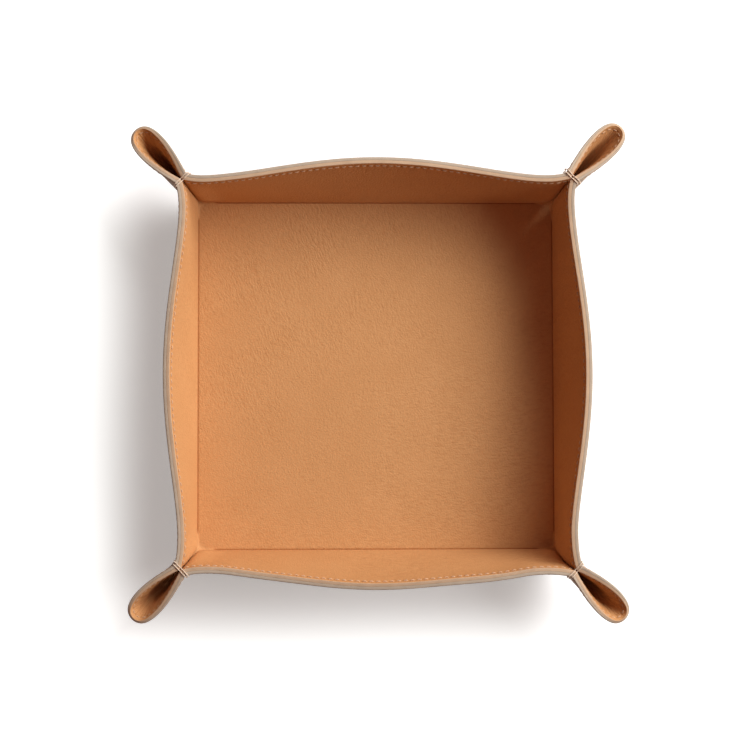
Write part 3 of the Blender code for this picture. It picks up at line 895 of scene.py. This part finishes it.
# Painted light: the floor's glow is weaker close round the tray and stronger away from it.
floor_glow = (0.345, 0.80)
glow_run = (0.107, 0.145)
far_glow = 0.3
far_run = (0.3, 1.2)
camera_place = (-0.0183, -0.0393, 0.7864)
camera_turn = (0.0504, -0.0227, -0.0020)
sensor_width = 36
focal_pixels = 1587.2
picture_pixels = 750


def background_rays(tree):
    """1 for the rays that show the background, straight or by a mirror or glass, and else 0."""
    rays = add(tree, "ShaderNodeLightPath")
    straight = maths(tree, "MAXIMUM", rays.outputs["Is Camera Ray"], rays.outputs["Is Glossy Ray"])
    return maths(tree, "MAXIMUM", straight, rays.outputs["Is Transmission Ray"])


floor_corners = np.array([[-1, -1, 0], [1, -1, 0], [1, 1, 0], [-1, 1, 0]]) * floor_size / 2
floor_mesh = bpy.data.meshes.new("floor")
floor_mesh.from_pydata(floor_corners - [0, 0, floor_drop], [], [(0, 1, 2, 3)])
floor = in_scene("floor", floor_mesh)
white_floor = bpy.data.materials.new("white_floor")
white_floor.use_nodes = True
floor_tree = white_floor.node_tree
floor_shader = floor_tree.nodes["Principled BSDF"]
floor_shader.inputs["Base Color"].default_value = (0.90, 0.90, 0.90, 1)
floor_shader.inputs["Roughness"].default_value = 0.9
floor_shader.inputs["Specular IOR Level"].default_value = 0.1
floor_shader.inputs["Emission Color"].default_value = glow_colour
floor_place = add(floor_tree, "ShaderNodeTexCoord").outputs["Object"]
floor_parts = add(floor_tree, "ShaderNodeSeparateXYZ", {0: floor_place}).outputs
floor_out = maths(floor_tree, "MAXIMUM", *[maths(floor_tree, "ABSOLUTE", part) for part in floor_parts[:2]])
# Painted light: the glow grows from close round the tray outwards, so the tray's shadow fades sooner than
# the lamp alone makes it.
painted_light_round_tray = ramped(floor_tree, floor_out, *glow_run, *floor_glow, how="SMOOTHSTEP")
far_part = ramped(floor_tree, floor_out, *far_run, 0, far_glow)
glow = maths(floor_tree, "ADD", painted_light_round_tray, far_part)
seen_glow = maths(floor_tree, "MULTIPLY", background_rays(floor_tree), glow)
floor_tree.links.new(seen_glow, floor_shader.inputs["Emission Strength"])
floor_mesh.materials.append(white_floor)

lamp_data = bpy.data.lights.new("soft_lamp", "AREA")
lamp_data.shape = "RECTANGLE"
lamp_data.size = lamp_width
lamp_data.size_y = lamp_height
lamp_data.energy = lamp_power
lamp = in_scene("soft_lamp", lamp_data)
lamp.location = lamp_place
lamp.rotation_euler = (math.atan2(math.hypot(*lamp_place[:2]), lamp_place[2]), 0,
                       math.atan2(lamp_place[1], lamp_place[0]) + math.pi / 2)

world = bpy.data.worlds.new("studio")
bpy.context.scene.world = world
world.use_nodes = True
sky_tree = world.node_tree
sky_tree.nodes.clear()
sky = add(sky_tree, "ShaderNodeBackground", {"Color": sky_colour, "Strength": sky_strength})
seen = add(sky_tree, "ShaderNodeBackground", {"Color": (1, 1, 1, 1), "Strength": 1})
either = add(sky_tree, "ShaderNodeMixShader",
             {0: background_rays(sky_tree), 1: sky.outputs[0], 2: seen.outputs[0]})
add(sky_tree, "ShaderNodeOutputWorld", {"Surface": either.outputs[0]})

camera_data = bpy.data.cameras.new("camera")
camera_data.sensor_width = sensor_width
camera_data.lens = sensor_width * focal_pixels / picture_pixels
camera = in_scene("camera", camera_data)
camera.location = camera_place
camera.rotation_euler = camera_turn
bpy.context.scene.camera = camera
bpy.context.scene.view_settings.view_transform = "Standard"
